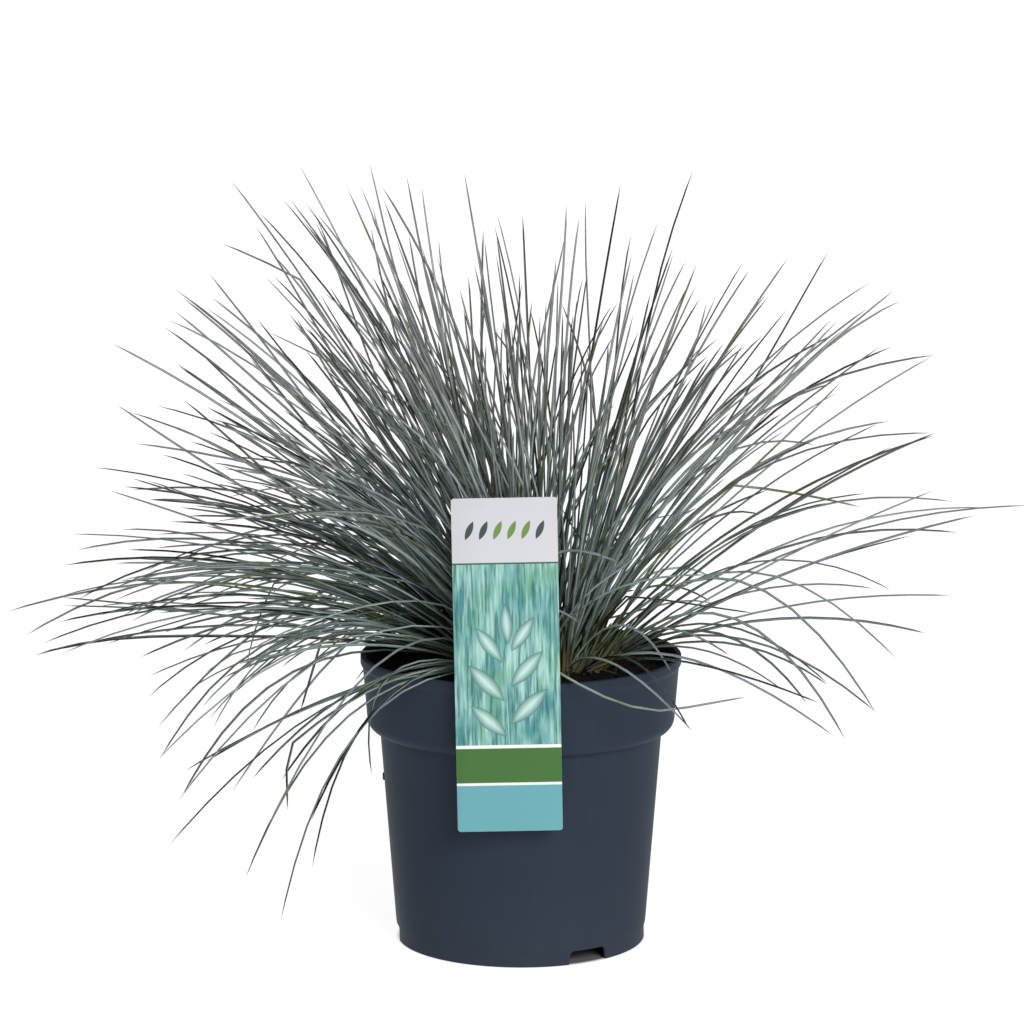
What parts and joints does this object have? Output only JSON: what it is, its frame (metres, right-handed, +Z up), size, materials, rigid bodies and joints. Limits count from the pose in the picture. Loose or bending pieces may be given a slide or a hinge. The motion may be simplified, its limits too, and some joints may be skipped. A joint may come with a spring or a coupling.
{
  "type": "potted blue fescue clump",
  "caption": "Ornamental blue grass clump of fine needle leaves in a dark round nursery pot with soil and a hanging plant label",
  "frame": {"origin": "on the pot's axis at the level it stands on; the leaves reach equally far to both sides of it", "axes": "+Z up along the pot's axis, +X to the right seen from the label's side, -Y towards the label"},
  "size_m": [0.5998, 0.4286, 0.459],
  "materials": {
    "pot": "anthracite moulded polypropylene, satin",
    "soil": "dark moist peat mix, rough and matt",
    "label": "printed plastic card, satin",
    "leaf": "grey-blue waxy grass leaf, matt bloom"
  },
  "bodies": {
    "root": {"pot": "pot", "soil": "soil", "label": "label", "tuft_01": "leaf", "tuft_02": "leaf", "tuft_03": "leaf", "tuft_04": "leaf", "tuft_05": "leaf", "tuft_06": "leaf", "tuft_07": "leaf", "tuft_08": "leaf", "tuft_09": "leaf", "tuft_10": "leaf", "tuft_11": "leaf", "tuft_12": "leaf", "tuft_13": "leaf", "tuft_14": "leaf", "tuft_15": "leaf", "tuft_16": "leaf", "tuft_17": "leaf", "tuft_18": "leaf", "tuft_19": "leaf", "tuft_20": "leaf", "tuft_21": "leaf", "tuft_22": "leaf", "tuft_23": "leaf", "tuft_24": "leaf", "tuft_25": "leaf", "tuft_26": "leaf", "tuft_27": "leaf", "tuft_28": "leaf", "tuft_29": "leaf", "tuft_30": "leaf", "tuft_31": "leaf", "tuft_32": "leaf", "tuft_33": "leaf", "tuft_34": "leaf", "tuft_35": "leaf", "tuft_36": "leaf", "tuft_37": "leaf", "tuft_38": "leaf", "tuft_39": "leaf", "tuft_40": "leaf", "tuft_41": "leaf", "tuft_42": "leaf", "tuft_43": "leaf", "tuft_44": "leaf", "tuft_45": "leaf", "tuft_46": "leaf", "tuft_47": "leaf", "tuft_48": "leaf"}
  },
  "joints": []
}
